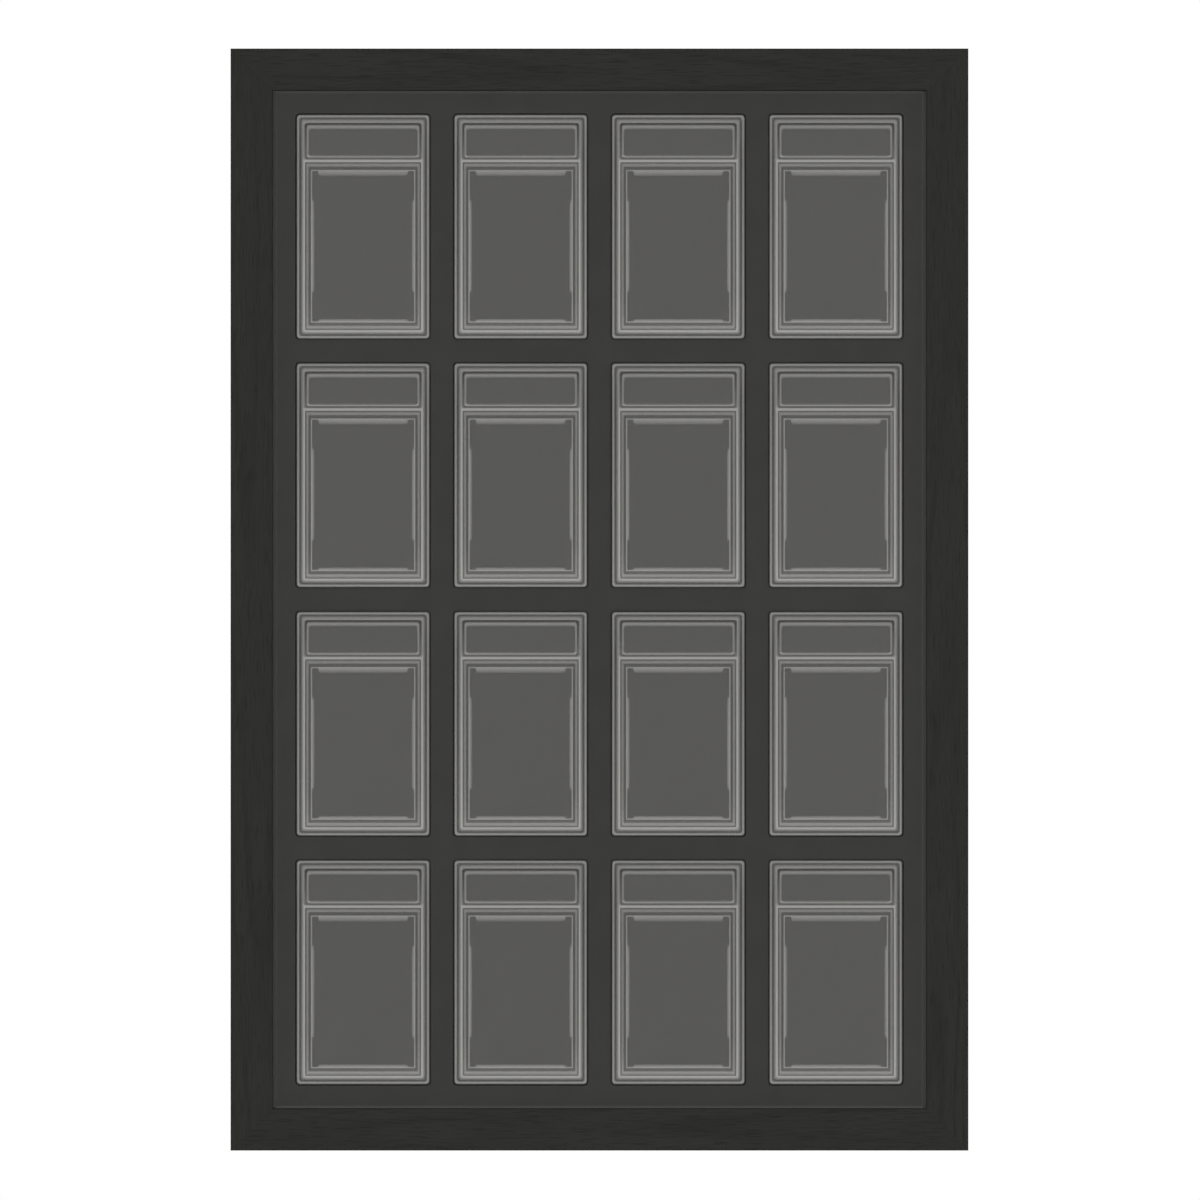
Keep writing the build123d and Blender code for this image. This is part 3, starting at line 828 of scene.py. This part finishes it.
def slabPlan():
    # Where the borders of a front shell lie about its own centre, with the parting plane at level zero
    r = relief
    low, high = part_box("slab_front_r1c1")
    at = SimpleNamespace(half=(high.x - low.x) / 2, top=(high.z - low.z) / 2, crest=high.y - low.y)
    at.ledge, at.window = at.crest - r["ledgeDrop"], at.crest - r["windowDrop"]
    at.crestInset = r["ledgeWidth"] + r["ridgeSlope"]
    at.landEase = r["ridgeCrest"] / 4  # strips of the crest beside its edges, which leave its middle flat
    mouthInset = at.crestInset + r["ridgeCrest"] + r["grooveWidth"]
    at.mouthHalf = at.half - mouthInset
    at.labelTop = at.top - mouthInset
    at.labelFoot = at.labelTop - r["labelTopBezel"] - r["labelWindowHeight"] - r["labelFootBezel"]
    at.cardTop = at.labelFoot - 2 * r["grooveWidth"] - r["crossbarHeight"]
    at.cardFoot = mouthInset - at.top
    at.labelHalf = at.mouthHalf - r["labelSideBezel"]
    at.labelWindow = (at.labelTop - r["labelTopBezel"], at.labelFoot + r["labelFootBezel"])
    at.floorHalf = at.mouthHalf - r["cardSideBezel"]
    at.floorTop, at.floorFoot = at.cardTop - r["cardTopBezel"], at.cardFoot + r["cardFootBezel"]
    at.cardMiddle = (at.floorTop + at.floorFoot) / 2
    at.ease = 2 * r["softness"]  # strip round each window's inside, which keeps the window flat

    # The sides have points beside the crossbar, where the brighter crest begins
    ease = r["barEase"]
    at.barEnds = {"middle": at.labelFoot, "slope": ease / 2, "sideHalf": ease, "sideDepth": 0.0}
    at.tabs = {
        "middle": at.cardMiddle,
        "slope": r["tabSlope"],
        "sideHalf": r["sideTabHeight"] / 2,
        "endHalf": r["endTabWidth"] / 2,
        "sideDepth": r["sideTabDepth"],
        "topDepth": r["topTabDepth"],
        "footDepth": r["footTabDepth"],
    }
    return at


def around(at, inset, radius, level, milkAndPaintedLight=0.0):  # a loop that follows the slab's outline
    return station(at.half - inset, at.top - inset, inset - at.top, radius, level, milkAndPaintedLight)


def between(first, second, share, milkAndPaintedLight):  # a station part of the way down a slope, with its own haze and painted light
    first, second = np.array(first), np.array(second)
    middle = first + (second - first) * share
    middle[5] = milkAndPaintedLight
    return tuple(middle)


# painted highlights: more white at the slab's very foot and very top
def paintedBrightEnds(at, patch):
    points, faces, milkAndPaintedLight = patch
    ends = [reach - at.top for reach in slabMilkAndPaintedLight["footReach"]]
    ends += [at.top - reach for reach in reversed(slabMilkAndPaintedLight["topReach"])]
    return points, faces, milkAndPaintedLight + np.interp(points[:, 2], ends, slabMilkAndPaintedLight["paintedEndLight"])


def slabSides(at):  # wall, ledge and ridge, up to the flat of the crest
    r, m = relief, slabMilkAndPaintedLight
    corner, ridge, edge = r["cornerRadius"], r["ridgeRadius"], r["cornerRadius"] - r["edgeBevel"]
    full, ended, faded = (r["ledgeWidth"] * share for share in r["ledgeShares"])
    points, faces, milkAndPaintedLight = band(softened([
        around(at, 0, corner, r["seamGap"], m["wall"]),
        around(at, 0, corner, at.ledge - r["edgeBevel"], m["wall"]),
        around(at, r["edgeBevel"], edge, at.ledge, m["bevel"]),
        around(at, full, edge, at.ledge, m["edge"]),
        around(at, ended, edge, at.ledge, m["edge"]),
        around(at, faded, (corner + ridge) / 2, at.ledge, m["ledge"]),
        around(at, r["ledgeWidth"], ridge, at.ledge, m["ledge"]),
        around(at, r["ledgeWidth"] + r["ridgeSlope"] / 2, ridge, (at.ledge + at.crest) / 2, m["slope"]),
        around(at, at.crestInset, ridge, at.crest, m["crest"]),
        around(at, at.crestInset + at.landEase, ridge, at.crest, m["crest"]),
    ], r["softness"]), at.barEnds, cap=False)
    byLabel = points[:, 2] > at.labelFoot - r["barEase"] / 2
    return points, faces, np.where(byLabel, np.minimum(milkAndPaintedLight, m["labelEndMost"]), milkAndPaintedLight)


def grooved(at, upper, foot, radius, crestMilk, grooveMilk, frameMilk):
    # The groove round a frame, from the crest's flat down its wall, across and up to the frame's rim
    width, deep = relief["grooveWidth"], at.crest - relief["grooveDepth"]

    def mouth(grow, rounded, level, milkAndPaintedLight):
        return station(at.mouthHalf + grow, upper + grow, foot - grow, rounded, level, milkAndPaintedLight)

    return [
        mouth(width + at.landEase, radius + at.landEase, at.crest, crestMilk),
        mouth(width, radius, at.crest, (crestMilk + grooveMilk) / 2),
        mouth(width, radius, deep, grooveMilk),
        mouth(0, radius, deep, grooveMilk),
        mouth(0, radius, at.crest, frameMilk),
    ]


def labelFrame(at):
    m = slabMilkAndPaintedLight
    milks = (m["labelCrest"], m["labelGroove"], m["labelFrame"])
    return grooved(at, at.labelTop, at.labelFoot, relief["labelRadius"], *milks)


def cardFrame(at):
    m = slabMilkAndPaintedLight
    milks = (m["cardCrest"], m["cardGroove"], m["cardFrame"])
    return grooved(at, at.cardTop, at.cardFoot, relief["cardRadius"], *milks)


def labelRecess(at):  # the label's frame, its sloping bezel and its window
    r, m = relief, slabMilkAndPaintedLight
    upper, lower = at.labelWindow
    frame = labelFrame(at)
    edge = station(at.labelHalf, upper, lower, r["labelRadius"], at.window, m["labelFoot"])
    bezel = [between(frame[-1], edge, *pair) for pair in zip(r["labelShares"], m["labelBezel"])]
    sides = (at.labelHalf - at.ease, upper - at.ease, lower + at.ease)
    window = station(*sides, r["labelRadius"], at.window, m["window"])
    points, faces, milkAndPaintedLight = band(softened([*frame, *bezel, edge, window], r["softness"]))
    # painted highlight along the label window's lower edge
    milkAndPaintedLight[points[:, 2] < lower + at.ease / 2] += m["labelFootPaintedLight"]
    return points, faces, milkAndPaintedLight


def cardRecess(at):  # the card's frame, its bezel, the moat, and the lip with its tabs round the window
    r, m = relief, slabMilkAndPaintedLight
    lipLevel = at.window + r["lipHeight"]
    shoulder = lipLevel - r["lipBevel"]
    frame = cardFrame(at)
    edge = station(at.floorHalf, at.floorTop, at.floorFoot, r["cardRadius"], at.window, m["moat"])
    bezel = [between(frame[-1], edge, *pair) for pair in zip(r["cardShares"], m["cardBezel"])]

    def lip(inset, level, milkAndPaintedLight, tab=0.0):
        inset += r["moatWidth"]
        upper, lower = at.floorTop - inset - r["moatMoreTop"], at.floorFoot + inset + r["moatMoreFoot"]
        return station(at.floorHalf - inset, upper, lower, r["cardRadius"], level, milkAndPaintedLight, tab)

    return band(softened([
        *frame,
        *bezel,
        edge,
        lip(0, at.window, m["moat"]),
        lip(0, shoulder, m["lip"]),
        lip(r["lipBevel"], lipLevel, m["lip"]),
        lip(r["lipWidth"] - r["lipBevel"], lipLevel, m["tab"], 1),
        lip(r["lipWidth"], shoulder, m["tab"], 1),
        lip(r["lipWidth"], at.window, m["window"], 1),
        lip(r["lipWidth"] + at.ease, at.window, m["window"], 1),
    ], r["softness"]), at.tabs)


def slabUnderside(at):  # the parting plane, with the cavities that hold the label and the card
    r, m = relief, slabMilkAndPaintedLight
    upper, lower = at.labelWindow
    play, reach = r["labelPlay"], r["cardHeight"] / 2
    boxes = [
        (at.labelHalf + play, upper + play, lower - play),
        (r["cardWidth"] / 2, at.cardMiddle + reach, at.cardMiddle - reach),
    ]
    rims = [station(*box, r["cardRadius"], r["seamGap"], m["inside"]) for box in boxes]
    floors = [station(*box, r["cardRadius"], r["cavityDepth"], m["inside"]) for box in boxes]
    cavities = [band(pair, away=True) for pair in zip(rims, floors)]
    outline = loopOf(around(at, 0, r["cornerRadius"], r["seamGap"]), at.barEnds)
    underside = land(outline, *(loopOf(rim) for rim in rims), milkAndPaintedLight=m["inside"], away=True)
    return [underside, *cavities]


def slabFront():  # one front shell, and how many of its faces are on the inside
    at, m = slabPlan(), slabMilkAndPaintedLight
    front = [paintedBrightEnds(at, patch) for patch in (slabSides(at), labelRecess(at), cardRecess(at))]
    crestLoop = loopOf(around(at, at.crestInset + at.landEase, relief["ridgeRadius"], at.crest), at.barEnds)
    labelLoop, cardLoop = loopOf(labelFrame(at)[0]), loopOf(cardFrame(at)[0], at.tabs)
    front.append(land(crestLoop, labelLoop, cardLoop, milkAndPaintedLight=m["crest"]))
    inside = slabUnderside(at)
    points, faces, milkAndPaintedLight = joined(*front, *inside)
    inner = sum(len(patch[1]) for patch in inside)
    # painted light: the slab's brighter parts are painted brighter still towards its foot
    footPaintedLight = np.interp(points[:, 2], [-at.top, 0.0], [1 + m["paintedFootLightGain"], 1.0])
    return points, faces, inner, np.where(milkAndPaintedLight > m["gainFrom"], milkAndPaintedLight * footPaintedLight, milkAndPaintedLight)


def buildSlabs():
    points, faces, inner, milkAndPaintedLight = slabFront()
    outer = clearPlastic("slabPlastic", "milkAndPaintedLight", plastic["slabGloss"])
    back = clearPlastic("slabInnerPlastic", plastic["innerMilk"])
    fronts = sorted(name for name in cadNodes if name.startswith("slab_front_"))
    for name in fronts:
        low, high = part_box(name)
        placed = points + np.array([(low.x + high.x) / 2, high.y, (low.z + high.z) / 2])
        title = name.replace("slab_front_", "slabFace-")
        slab = makePiece(title, placed, faces, [outer, back], inner, milkAndPaintedLight)
        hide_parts(name)
        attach(slab, "frame")
    dress(back, *(name.replace("front", "back") for name in fronts))
    print("slabs moulded:", len(fronts), "with", len(faces), "faces each")


buildSlabs()
